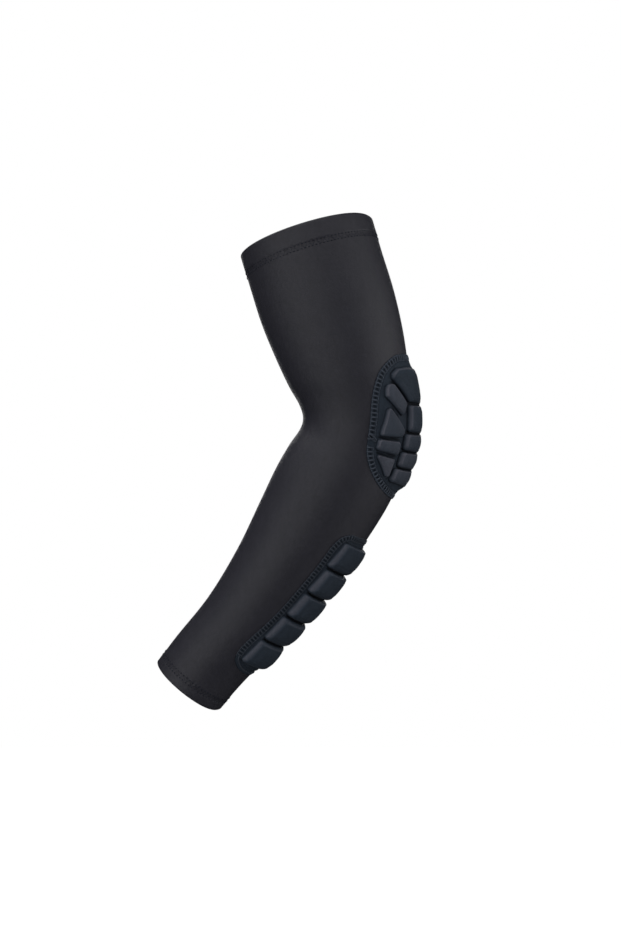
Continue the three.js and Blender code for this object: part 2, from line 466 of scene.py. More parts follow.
class FlatMesh:
    """A mesh drawn on the flat pattern in closed loops, then laid on the arm."""

    def __init__(self) -> None:
        """Starts with no points."""
        self.plan = np.empty((0, 2))
        self.height = np.empty(0)
        self.painted_light = np.empty(0)
        self.faces: list[list[int]] = []

    def add(self, plan: np.ndarray, height: np.ndarray, painted_light: np.ndarray | float) -> np.ndarray:
        """Adds points.

        Args:
            plan: rows of around and along.
            height: heights above the sleeve.
            painted_light: light painted into the cloth's colour there.

        Returns:
            The numbers of the new points.
        """
        first = len(self.plan)
        self.plan = np.vstack([self.plan, plan])
        self.height = np.concatenate([self.height, height])
        self.painted_light = np.concatenate([self.painted_light, np.broadcast_to(painted_light, len(plan))])
        return np.arange(first, len(self.plan))

    def bridge(self, loops: list[np.ndarray]) -> None:
        """Joins loops of as many points.

        Args:
            loops: numbers of each loop's points, the outermost loop first.
        """
        for outer, inner in zip(loops, loops[1:]):
            quads = np.column_stack([outer, np.roll(outer, -1), np.roll(inner, -1), inner])
            self.faces.extend(quads.tolist())

    def fill(
        self,
        loop: np.ndarray,
        spacing: float,
        rule: Callable[[np.ndarray], tuple[np.ndarray, np.ndarray | float]],
        underside: bool = False,
    ) -> None:
        """Closes a loop with triangles.

        Args:
            loop: numbers of the loop's points.
            spacing: distance between the points that are set inside it.
            rule: gives the height and the painted light of points inside the loop.
            underside: whether the faces look at the sleeve.
        """
        ring = self.plan[loop]
        inside = points_inside(ring, spacing)
        numbers = np.concatenate([loop, self.add(inside, *rule(inside))])
        flat = [Vector(p) for p in np.vstack([ring, inside])]
        found = delaunay_2d_cdt(flat, [], [list(range(len(ring)))], INSIDE_ONLY, MERGE_DISTANCE)
        source = [origin[0] for origin in found[3]]
        for face in found[2]:
            corners = [int(numbers[source[i]]) for i in face]
            self.faces.append(corners[::-1] if underside else corners)

    def to_object(self, name: str, form: ArmForm, material: bpy.types.Material) -> bpy.types.Object:
        """Lays the mesh on the arm.

        Args:
            name: the object's name.
            form: the arm.
            material: its finish.

        Returns:
            The object.
        """
        corners = np.fromiter((i for face in self.faces for i in face), dtype=int)
        points = form.lay(self.plan, self.height)
        return make_object(name, points, self.faces, material, self.plan[corners] * MM, self.painted_light)


def distance_to(ring: np.ndarray, plan: np.ndarray) -> np.ndarray:
    """Measures how far points are from a closed ring.

    Args:
        ring: points of the ring in order.
        plan: the points.

    Returns:
        A distance for each point.
    """
    start, run = ring[None], (np.roll(ring, -1, axis=0) - ring)[None]
    step = plan[:, None] - start
    share = np.clip((step * run).sum(-1) / np.maximum((run * run).sum(-1), SMALLEST), 0, 1)
    return np.linalg.norm(step - share[..., None] * run, axis=-1).min(axis=1)


def points_inside(ring: np.ndarray, spacing: float) -> np.ndarray:
    """Sets points in rows inside a closed ring, clear of its edge.

    Args:
        ring: points of the ring in order.
        spacing: distance between the points.

    Returns:
        The points that lie inside.
    """
    low, high = ring.min(axis=0), ring.max(axis=0)
    across, down = (np.arange(low[i] + spacing / 2, high[i], spacing) for i in range(2))
    grid = np.stack(np.meshgrid(across, down), axis=-1)
    grid[1::2, :, 0] += spacing / 2
    grid = grid.reshape(-1, 2)
    ahead = np.roll(ring, -1, axis=0)
    x, y = grid[:, 0, None], grid[:, 1, None]
    spans = (ring[:, 1] > y) != (ahead[:, 1] > y)
    rise = np.where(ahead[:, 1] == ring[:, 1], 1, ahead[:, 1] - ring[:, 1])
    crossing = ring[:, 0] + (y - ring[:, 1]) * (ahead[:, 0] - ring[:, 0]) / rise
    inside = ((spans & (x < crossing)).sum(axis=1) % 2) == 1
    grid = grid[inside]
    return grid[distance_to(ring, grid) > spacing * EDGE_CLEARANCE] if len(grid) else grid


def smooth_ring(points: np.ndarray, step: float) -> np.ndarray:
    """Draws a smooth closed curve through points.

    Args:
        points: points of the curve in order.
        step: distance between the points of the result.

    Returns:
        Points evenly spaced along the curve.
    """
    ahead = np.roll(points, -1, axis=0)
    gap = np.linalg.norm(ahead - points, axis=1)[:, None]
    slope = (ahead - points) / gap
    gap_before, slope_before = np.roll(gap, 1, axis=0), np.roll(slope, 1, axis=0)
    leave = (slope * gap_before + slope_before * gap) / (gap + gap_before) * gap
    arrive = np.roll(leave / gap, -1, axis=0) * gap
    share = np.linspace(0, 1, CURVE_POINTS, endpoint=False)[None, :, None]
    fine = smooth_curve(*(v[:, None] for v in (points, ahead, leave, arrive)), share).reshape(-1, 2)
    closed = np.vstack([fine, fine[:1]])
    lengths = np.concatenate([[0], np.cumsum(np.linalg.norm(np.diff(closed, axis=0), axis=1))])
    even = np.linspace(0, lengths[-1], round(lengths[-1] / step), endpoint=False)
    return np.column_stack([np.interp(even, lengths, closed[:, i]) for i in range(2)])


def left_of(runs: np.ndarray) -> np.ndarray:
    """Turns directions to the left, which is inwards on a counterclockwise ring."""
    return np.column_stack([-runs[:, 1], runs[:, 0]])


def set_in(ring: np.ndarray, inset: float) -> np.ndarray:
    """Moves a smooth ring inwards.

    Args:
        ring: points of the ring in order.
        inset: how far they move.

    Returns:
        The moved points.
    """
    run = np.roll(ring, -1, axis=0) - np.roll(ring, 1, axis=0)
    inward = left_of(run) / np.linalg.norm(run, axis=1, keepdims=True)
    return ring + inward * inset


class RoundedPlan:
    """The plan of a foam block: straight edges with rounded corners, drawn in from the foot to the top.

    Attributes:
        tip: half the length that an edge keeps where it runs out towards the top.
        least_turn: sine of the turn below which two edges meet half-way and not where their lines cross.
        corner_room: largest share of an edge that the rounding of one corner takes.
        arc_turn: turn between the points of a rounded corner, in degrees.
        straight: tangent below which a corner isn't rounded.
    """

    tip = 0.2
    least_turn = 0.42
    corner_room = 0.46
    arc_turn = 9
    straight = 1e-6

    def __init__(self, foot: np.ndarray, insets: np.ndarray, radius: float, step: float) -> None:
        """Keeps the plan and settles how many points each edge and corner takes.

        Args:
            foot: corners of the foot in order, counterclockwise.
            insets: how far in the top lies from each edge, at the edge's first and last corner.
            radius: rounding of the corners.
            step: distance between points along an edge.
        """
        self.foot, self.radius = foot, radius
        runs, turns, sizes = self.edges(foot)
        inward = left_of(runs)
        first = foot + inward * insets[:, :1]
        last = np.roll(foot, -1, axis=0) + inward * insets[:, 1:]
        self.top = np.array(
            [self.crossing(first[i - 1], last[i - 1], first[i], last[i]) for i in range(len(foot))]
        )
        for _ in foot:
            run = np.roll(self.top, -1, axis=0) - self.top
            lost = np.flatnonzero((run * runs).sum(axis=1) < self.tip)
            if len(lost):
                edge, ahead = lost[0], (lost[0] + 1) % len(foot)
                tip = self.crossing(first[edge - 1], last[edge - 1], first[ahead], last[ahead])
                self.top[edge], self.top[ahead] = tip - runs[edge] * self.tip, tip + runs[edge] * self.tip
        self.arc_points = [max(2, math.ceil(math.degrees(abs(t)) / self.arc_turn)) for t in turns]
        self.edge_points = [max(1, round(size / step)) for size in sizes]

    def crossing(self, a: np.ndarray, b: np.ndarray, c: np.ndarray, d: np.ndarray) -> np.ndarray:
        """Finds where two edges meet.

        Args:
            a: start of the first edge.
            b: end of the first edge.
            c: start of the second edge.
            d: end of the second edge.

        Returns:
            The crossing of their lines, or the point between b and c where the lines hardly turn.
        """
        run, other = b - a, d - c
        cross = run[0] * other[1] - run[1] * other[0]
        if abs(cross) < self.least_turn * np.linalg.norm(run) * np.linalg.norm(other):
            return (b + c) / 2
        step = c - a
        return a + run * (step[0] * other[1] - step[1] * other[0]) / cross

    @staticmethod
    def edges(corners: np.ndarray) -> tuple[np.ndarray, np.ndarray, np.ndarray]:
        """Measures the edges between corners.

        Args:
            corners: the corners in order.

        Returns:
            Direction of the edge after each corner, turn at each corner, and length of each edge.
        """
        run = np.roll(corners, -1, axis=0) - corners
        sizes = np.linalg.norm(run, axis=1)
        runs = run / sizes[:, None]
        before = np.roll(runs, 1, axis=0)
        cross = before[:, 0] * runs[:, 1] - before[:, 1] * runs[:, 0]
        return runs, np.arctan2(cross, (before * runs).sum(axis=1)), sizes

    def loop(self, share: float) -> np.ndarray:
        """Draws the plan as a closed loop.

        Args:
            share: how far the loop lies from the foot, 0, to the top, 1.

        Returns:
            The loop's points, as many for every share.
        """
        corners = self.foot + (self.top - self.foot) * share
        runs, turns, sizes = self.edges(corners)
        room = self.corner_room * np.minimum(sizes, np.roll(sizes, 1))
        arcs = []
        for i, corner in enumerate(corners):
            tangent = math.tan(turns[i] / 2)
            cut = min(self.radius * abs(tangent), room[i])
            first = corner - runs[i - 1] * cut
            reach = cut / tangent if abs(tangent) > self.straight else 0
            spoke = np.array([runs[i - 1][1], -runs[i - 1][0]]) * reach
            angle = np.linspace(0, turns[i], self.arc_points[i])
            across = np.cos(angle) * spoke[0] - np.sin(angle) * spoke[1]
            down = np.sin(angle) * spoke[0] + np.cos(angle) * spoke[1]
            arcs.append(first - spoke + np.column_stack([across, down]))
        parts = []
        for i, arc in enumerate(arcs):
            end = arcs[(i + 1) % len(arcs)][0]
            share_along = np.arange(1, self.edge_points[i])[:, None] / self.edge_points[i]
            parts += [arc, arc[-1] + share_along * (end - arc[-1])]
        return np.vstack(parts)


class NodeBoard:
    """Adds nodes to a node tree and links them."""

    def __init__(self, tree: bpy.types.NodeTree) -> None:
        """Takes the tree to work on."""
        self.tree = tree

    def add(self, kind: str, inputs: dict[str, object] | None = None, **settings: object) -> bpy.types.Node:
        """Adds a node.

        Args:
            kind: the node's type.
            inputs: a value or another node's output for each input's name.
            settings: properties of the node.

        Returns:
            The node.
        """
        node = self.tree.nodes.new(kind)
        for name, value in settings.items():
            setattr(node, name, value)
        self.wire(node, inputs or {})
        return node

    def wire(self, node: bpy.types.Node, inputs: dict[str, object]) -> None:
        """Feeds the inputs of a node by their names."""
        for name, value in inputs.items():
            self.feed(node.inputs[name], value)

    def feed(self, socket: bpy.types.NodeSocket, source: object) -> None:
        """Links a socket or sets its value.

        Args:
            socket: the input.
            source: another node's output, or a value.
        """
        if isinstance(source, bpy.types.NodeSocket):
            self.tree.links.new(source, socket)
        else:
            socket.default_value = source

    def math(self, operation: str, *values: object) -> bpy.types.NodeSocket:
        """Adds a sum.

        Args:
            operation: the Math node's operation.
            values: numbers or sockets that it works on.

        Returns:
            The result's socket.
        """
        node = self.add("ShaderNodeMath", operation=operation)
        for socket, value in zip(node.inputs, values):
            self.feed(socket, value)
        return node.outputs[0]

    def mix(self, factor: object, first: object, second: object) -> bpy.types.NodeSocket:
        """Adds a mix of two colours.

        Args:
            factor: share of the second colour.
            first: a colour or its socket.
            second: a colour or its socket.

        Returns:
            The mixed colour's socket.
        """
        node = self.add("ShaderNodeMix", data_type="RGBA")
        for name, value in (("Factor_Float", factor), ("A_Color", first), ("B_Color", second)):
            self.feed(next(s for s in node.inputs if s.identifier == name), value)
        return next(s for s in node.outputs if s.identifier == "Result_Color")


def new_group(
    name: str, kind: str, inputs: dict[str, str], outputs: dict[str, str]
) -> tuple[NodeBoard, bpy.types.Node]:
    """Starts a node group.

    Args:
        name: the group's name.
        kind: the type of its tree.
        inputs: type of value for each input's name.
        outputs: type of value for each output's name.

    Returns:
        The group's board and its input node.
    """
    tree = bpy.data.node_groups.new(name, kind)
    for direction, sockets in (("INPUT", inputs), ("OUTPUT", outputs)):
        for label, value in sockets.items():
            tree.interface.new_socket(name=label, in_out=direction, socket_type=f"NodeSocket{value}")
    board = NodeBoard(tree)
    return board, board.add("NodeGroupInput")


def new_material(name: str) -> tuple[bpy.types.Material, NodeBoard, bpy.types.Node]:
    """Starts a material.

    Args:
        name: the material's name.

    Returns:
        The material, its board and its shader.
    """
    material = bpy.data.materials.new(name)
    material.use_nodes = True
    return material, NodeBoard(material.node_tree), material.node_tree.nodes["Principled BSDF"]


class SurfaceEffects:
    """Shader node groups that more than one finish uses.

    Attributes:
        slant: how far a loop of the knit leans over the next one.
        roundness: how flat the loops are on top.
        cover: how much of a loop shows thread and no gap.
    """

    slant = 1.4
    roundness = 0.6
    cover = 1.6

    def __init__(self) -> None:
        """Builds the groups once."""
        self.knit = self.build_knit()
        self.mottle = self.build_mottle()

    def build_knit(self) -> bpy.types.NodeTree:
        """Builds the fine jersey knit: columns of slanted loops.

        Returns:
            A group with the loops' height and the share of thread in view.
        """
        board, source = new_group(
            "knit_loops",
            "ShaderNodeTree",
            {"Vector": "Vector", "Wale": "Float", "Course": "Float"},
            {"Height": "Float", "Thread": "Float"},
        )
        place = board.add("ShaderNodeSeparateXYZ", {"Vector": source.outputs["Vector"]})
        across = board.math("DIVIDE", place.outputs["X"], source.outputs["Wale"])
        down = board.math("DIVIDE", place.outputs["Y"], source.outputs["Course"])
        leg = board.math("ABSOLUTE", board.math("SUBTRACT", board.math("FRACT", across), 0.5))
        slanted = board.math("FRACT", board.math("ADD", down, board.math("MULTIPLY", leg, self.slant)))
        loop = board.math("SINE", board.math("MULTIPLY", slanted, math.pi))
        strand = board.math("SINE", board.math("MULTIPLY", leg, 2 * math.pi))
        height = board.math("POWER", board.math("MULTIPLY", loop, strand), self.roundness)
        thread = board.math("MINIMUM", board.math("MULTIPLY", height, self.cover), 1.0)
        board.add("NodeGroupOutput", {"Height": height, "Thread": thread})
        return board.tree

    @staticmethod
    def build_mottle() -> bpy.types.NodeTree:
        """Builds the faint unevenness of dyed cloth.

        Returns:
            A group with one mask.
        """
        inputs = {"Vector": "Vector", "Scale": "Float", "Amount": "Float"}
        board, source = new_group("dye_mottle", "ShaderNodeTree", inputs, {"Mask": "Float"})
        grain = {name: source.outputs[name] for name in ("Vector", "Scale")}
        grain |= {"Detail": 4, "Roughness": 0.65}
        noise = board.add("ShaderNodeTexNoise", grain, noise_dimensions="3D")
        centred = board.math("SUBTRACT", noise.outputs["Fac"], 0.5)
        mask = board.math("MULTIPLY", centred, source.outputs["Amount"])
        board.add("NodeGroupOutput", {"Mask": mask})
        return board.tree

    def uneven(
        self, board: NodeBoard, place: bpy.types.NodeSocket, scale: float, amount: float
    ) -> bpy.types.NodeSocket:
        """Adds the dye's unevenness to a material.

        Args:
            board: the material's board.
            place: the place on the cloth.
            scale: how fine it is.
            amount: how strong it is.

        Returns:
            The mask's socket.
        """
        inputs = {"Vector": place, "Scale": scale, "Amount": amount}
        return board.add("ShaderNodeGroup", inputs, node_tree=self.mottle).outputs["Mask"]


@dataclass(frozen=True)
class KnitFinish:
    """Dyed stretch knit, on the sleeve and over the foam, with painted highlights and painted shade mixed
    into its colour.
    """

    name: str
    shade: tuple[float, float, float]
    # painted_highlight is the colour of painted highlights; gaps_and_painted_shade darkens the knit's gaps
    # and gives painted shade.
    painted_highlight: tuple[float, float, float]
    gaps_and_painted_shade: tuple[float, float, float]
    wale: float
    course: float
    roughness: float
    specular: float
    sheen: float = 0.02
    sheen_roughness: float = 0.4
    sheen_tint: tuple[float, float, float, float] = (0.9, 0.93, 1, 1)
    relief: float = 0.3
    loop_height: float = 0.15 * MM
    gap_shade: float = 0.45
    grain: float = 1
    mottle: float = 0.5
    mottle_scale: float = 900
    streak: float = 0.3
    streak_scale: float = 220
    streak_stretch: tuple[float, float, float] = (1, 1, 0.3)

    def build(self, effects: SurfaceEffects) -> bpy.types.Material:
        """Makes the material.

        Args:
            effects: the shared node groups.

        Returns:
            The material.
        """
        material, board, shader = new_material(self.name)
        place = board.add("ShaderNodeUVMap", uv_map=PATTERN_MAP).outputs["UV"]
        loops = {"Vector": place, "Wale": self.wale, "Course": self.course}
        knit = board.add("ShaderNodeGroup", loops, node_tree=effects.knit)
        space = board.add("ShaderNodeTexCoord").outputs["Object"]
        mottle = effects.uneven(board, space, self.mottle_scale, self.mottle)
        drawn_out = board.add("ShaderNodeVectorMath", operation="MULTIPLY")
        board.feed(drawn_out.inputs[0], space)
        board.feed(drawn_out.inputs[1], self.streak_stretch)
        streaks = effects.uneven(board, drawn_out.outputs["Vector"], self.streak_scale, self.streak)
        # The painted light attribute mixes in the painted highlight colour above 0 and the painted shade
        # colour below 0.
        painted_light = board.add("ShaderNodeAttribute", attribute_type="GEOMETRY", attribute_name=PAINTED_LIGHT).outputs["Fac"]
        painted_highlight = board.math("MAXIMUM", painted_light, 0.0)
        gaps_and_painted_shade = board.math("MAXIMUM", board.math("MULTIPLY", painted_light, -1.0), 0.0)
        gaps = board.math("MULTIPLY", board.math("SUBTRACT", 1.0, knit.outputs["Thread"]), self.gap_shade)
        colour = board.mix(painted_highlight, (*self.shade, 1), (*self.painted_highlight, 1))
        for share in (gaps_and_painted_shade, gaps):
            colour = board.mix(share, colour, (*self.gaps_and_painted_shade, 1))
        value = board.math("ADD", board.math("ADD", mottle, streaks), 1.0)
        tone = board.add("ShaderNodeHueSaturation", {"Color": colour, "Value": value})
        grain = board.math("MULTIPLY", mottle, self.grain)
        height = board.math("ADD", knit.outputs["Height"], grain)
        relief = {"Strength": self.relief, "Distance": self.loop_height, "Height": height}
        surface = {
            "Base Color": tone.outputs["Color"],
            "Normal": board.add("ShaderNodeBump", relief).outputs["Normal"],
            "Roughness": self.roughness,
            "Specular IOR Level": self.specular,
            "Sheen Weight": self.sheen,
            "Sheen Roughness": self.sheen_roughness,
            "Sheen Tint": self.sheen_tint,
        }
        board.wire(shader, surface)
        return material


@dataclass(frozen=True)
class ThreadFinish:
    """Matte sewing thread."""

    name: str
    shade: tuple[float, float, float]
    mottle: float = 0.7
    mottle_scale: float = 1600
    roughness: float = 0.6
    specular: float = 0.25

    def build(self, effects: SurfaceEffects) -> bpy.types.Material:
        """Makes the material.

        Args:
            effects: the shared node groups.

        Returns:
            The material.
        """
        material, board, shader = new_material(self.name)
        space = board.add("ShaderNodeTexCoord").outputs["Object"]
        mottle = effects.uneven(board, space, self.mottle_scale, self.mottle)
        value = board.math("ADD", mottle, 1.0)
        tone = board.add("ShaderNodeHueSaturation", {"Color": (*self.shade, 1), "Value": value})
        surface = {
            "Base Color": tone.outputs["Color"],
            "Roughness": self.roughness,
            "Specular IOR Level": self.specular,
        }
        board.wire(shader, surface)
        return material


SLEEVE_KNIT = KnitFinish(
    name="sleeve_knit",
    shade=(0.0212, 0.021, 0.03),
    painted_highlight=(0.0245, 0.0243, 0.0335),
    gaps_and_painted_shade=(0.01, 0.01, 0.013),
    wale=0.5 * MM,
    course=0.42 * MM,
    roughness=0.48,
    specular=0.42,
    grain=10,
    mottle_scale=450,
)
# Its painted highlight colour lights the block bevels, and its painted shade colour darkens the grooves.
PAD_CLOTH = KnitFinish(
    name="pad_cloth",
    shade=(0.028, 0.038, 0.053),
    painted_highlight=(0.083, 0.086, 0.107),
    gaps_and_painted_shade=(0.004, 0.0058, 0.0092),
    wale=0.42 * MM,
    course=0.36 * MM,
    roughness=0.55,
    specular=0.08,
)
ELBOW_THREAD = ThreadFinish(name="elbow_thread", shade=(0.046, 0.057, 0.077))
FOREARM_THREAD = ThreadFinish(name="forearm_thread", shade=(0.034, 0.042, 0.056))
HEM_THREAD = ThreadFinish(name="hem_thread", shade=(0.008, 0.011, 0.02))


@dataclass(frozen=True)
class StitchStyle:
    """One kind of stitch, repeated along a guide line. Sizes in millimetres, turns in degrees."""

    pitch: float
    length: float
    radius: float
    arch: float
    turn: float = 0
    alternate: bool = False
    jitter: float = 5
    seed: int = 7


class Stitch(Enum):
    """The stitches of the sleeve."""

    ELBOW_RUNG = StitchStyle(pitch=3.05, length=4.8, radius=0.6, arch=0.24, turn=86)
    FOREARM_RUNG = StitchStyle(pitch=2.6, length=4.4, radius=0.48, arch=0.2, turn=86)
    SEAM_NEEDLE = StitchStyle(pitch=2.6, length=2.5, radius=0.28, arch=0.18, jitter=6)
    PIPING = StitchStyle(pitch=1.2, length=1.9, radius=0.55, arch=0.02, jitter=1)
    HEM_NEEDLE = StitchStyle(pitch=2.8, length=1.1, radius=0.38, arch=0.12, jitter=8)
    HEM_LOOPER = StitchStyle(2.8, length=3.4, radius=0.13, arch=0.08, turn=48, alternate=True, jitter=6)


class StitchTree:
    """The Geometry Nodes tree that repeats one stitch along a guide line.

    Attributes:
        numbers: inputs of the tree that are plain numbers.
        dip: how deep a stitch's ends go into the cloth, in radii of its thread.
        thread_points: points along a stitch and around it.
    """

    numbers = ("Pitch", "Length", "Radius", "Arch", "Turn", "Alternate", "Jitter")
    dip = 1.2
    thread_points = 6

    def __init__(self) -> None:
        """Builds the tree once."""
        inputs = {"Geometry": "Geometry", **dict.fromkeys(self.numbers, "Float")}
        inputs |= {"Seed": "Int", "Material": "Material"}
        board, source = new_group("stitch_row", "GeometryNodeTree", inputs, {"Geometry": "Geometry"})
        self.board, self.given = board, source.outputs
        stitch = {"Points": self.places(), "Instance": self.thread(), "Rotation": self.turned()}
        row = board.add("GeometryNodeInstanceOnPoints", stitch).outputs["Instances"]
        for kind in ("GeometryNodeSetShadeSmooth", "GeometryNodeRealizeInstances"):
            row = board.add(kind, {"Geometry": row}).outputs["Geometry"]
        finish = {"Geometry": row, "Material": self.given["Material"]}
        dressed = board.add("GeometryNodeSetMaterial", finish)
        board.add("NodeGroupOutput", {"Geometry": dressed.outputs["Geometry"]})

    def places(self) -> bpy.types.NodeSocket:
        """Adds the nodes that space the stitches along the guide.

        Returns:
            The socket with a point for each stitch.
        """
        curve = self.board.add("GeometryNodeMeshToCurve", {"Mesh": self.given["Geometry"]})
        spacing = {"Curve": curve.outputs["Curve"], "Length": self.given["Pitch"]}
        return self.board.add("GeometryNodeResampleCurve", spacing, mode="LENGTH").outputs["Curve"]

    def thread(self) -> bpy.types.NodeSocket:
        """Adds the nodes that make one stitch: a thread that arches from cloth to cloth.

        Returns:
            The socket with the stitch's mesh.
        """
        board = self.board
        length, radius, rise = (self.given[name] for name in ("Length", "Radius", "Arch"))
        half = board.math("MULTIPLY", length, 0.5)
        low = board.math("MULTIPLY", radius, -self.dip)
        top = board.math("ADD", board.math("MULTIPLY", rise, 2.0), radius)
        back = board.math("MULTIPLY", half, -1.0)
        ends = {"Start": (back, low), "Middle": (0.0, top), "End": (half, low)}
        bend: dict[str, object] = {"Resolution": self.thread_points}
        for name, (reach, height) in ends.items():
            bend[name] = board.add("ShaderNodeCombineXYZ", {"X": reach, "Z": height}).outputs["Vector"]
        arch = board.add("GeometryNodeCurveQuadraticBezier", bend)
        round_thread = {"Resolution": self.thread_points, "Radius": radius}
        section = board.add("GeometryNodeCurvePrimitiveCircle", round_thread, mode="RADIUS")
        sweep = {"Curve": arch.outputs["Curve"], "Profile Curve": section.outputs["Curve"]}
        return board.add("GeometryNodeCurveToMesh", {**sweep, "Fill Caps": True}).outputs["Mesh"]

    def turned(self) -> bpy.types.NodeSocket:
        """Adds the nodes that stand each stitch on the cloth and turn it from the guide's direction.

        Returns:
            The socket with each stitch's rotation.
        """
        board = self.board
        up = board.add("GeometryNodeInputNamedAttribute", {"Name": LIFT}, data_type="FLOAT_VECTOR")
        run = board.add("GeometryNodeInputTangent")
        axes = {"Primary Axis": up.outputs["Attribute"], "Secondary Axis": run.outputs["Tangent"]}
        stand = board.add("FunctionNodeAxesToRotation", axes, primary_axis="Z", secondary_axis="X")
        index = board.add("GeometryNodeInputIndex").outputs["Index"]
        flip = board.math("MULTIPLY", board.math("MODULO", index, 2.0), 2.0)
        sign = board.math("SUBTRACT", 1.0, board.math("MULTIPLY", flip, self.given["Alternate"]))
        chance = board.add("FunctionNodeRandomValue", {"Seed": self.given["Seed"]}, data_type="FLOAT")
        spread = self.given["Jitter"]
        low, high = (s for s in chance.inputs if s.identifier in ("Min_001", "Max_001"))
        board.feed(low, board.math("MULTIPLY", spread, -1.0))
        board.feed(high, spread)
        wander = next(s for s in chance.outputs if s.identifier == "Value_001")
        turn = board.math("ADD", board.math("MULTIPLY", self.given["Turn"], sign), wander)
        angles = board.add("ShaderNodeCombineXYZ", {"Z": turn})
        local = board.add("FunctionNodeEulerToRotation", {"Euler": angles.outputs["Vector"]})
        turned = {"Rotation": stand.outputs["Rotation"], "Rotate By": local.outputs["Rotation"]}
        return board.add("FunctionNodeRotateRotation", turned, rotation_space="LOCAL").outputs["Rotation"]

    def sew(
        self,
        guide: np.ndarray,
        lift: np.ndarray,
        closed: bool,
        stitch: Stitch,
        material: bpy.types.Material,
    ) -> bpy.types.Mesh:
        """Sews one row of stitches.

        Args:
            guide: points of the guide line in metres.
            lift: outward direction at each point.
            closed: whether the line ends where it starts.
            stitch: the kind of stitch.
            material: the thread's finish.

        Returns:
            The row as a plain mesh.
        """
        count = len(guide)
        edges = [(i, (i + 1) % count) for i in range(count if closed else count - 1)]
        mesh = bpy.data.meshes.new("guide")
        mesh.from_pydata(guide.tolist(), edges, [])
        outward = mesh.attributes.new(LIFT, "FLOAT_VECTOR", "POINT")
        outward.data.foreach_set("vector", lift.astype(np.float32).ravel())
        line = add_to_scene("guide", mesh)
        modifier = line.modifiers.new("stitches", "NODES")
        modifier.node_group = self.board.tree
        style = stitch.value
        values = {name.title(): getattr(style, name) * MM for name in ("pitch", "length", "radius", "arch")}
        values |= {name.title(): math.radians(getattr(style, name)) for name in ("turn", "jitter")}
        values |= {"Alternate": float(style.alternate), "Seed": style.seed, "Material": material}
        for item in modifier.node_group.interface.items_tree:
            if item.in_out == "INPUT" and item.name in values:
                modifier[item.identifier] = values[item.name]
        evaluated = line.evaluated_get(bpy.context.evaluated_depsgraph_get())
        row = bpy.data.meshes.new_from_object(evaluated)
        bpy.data.objects.remove(line)
        bpy.data.meshes.remove(mesh)
        return row


def join_rows(name: str, meshes: list[bpy.types.Mesh], material: bpy.types.Material) -> bpy.types.Object:
    """Joins rows of stitches into one object.

    Args:
        name: the object's name.
        meshes: the rows.
        material: the thread's finish.

    Returns:
        The object.
    """
    points, faces, first = [], [], 0
    for mesh in meshes:
        flat = np.empty(len(mesh.vertices) * 3, dtype=np.float32)
        mesh.vertices.foreach_get("co", flat)
        points.append(flat.reshape(-1, 3))
        faces += [[first + i for i in face.vertices] for face in mesh.polygons]
        first += len(mesh.vertices)
    for mesh in meshes:
        bpy.data.meshes.remove(mesh)
    return make_object(name, np.vstack(points), faces, material)


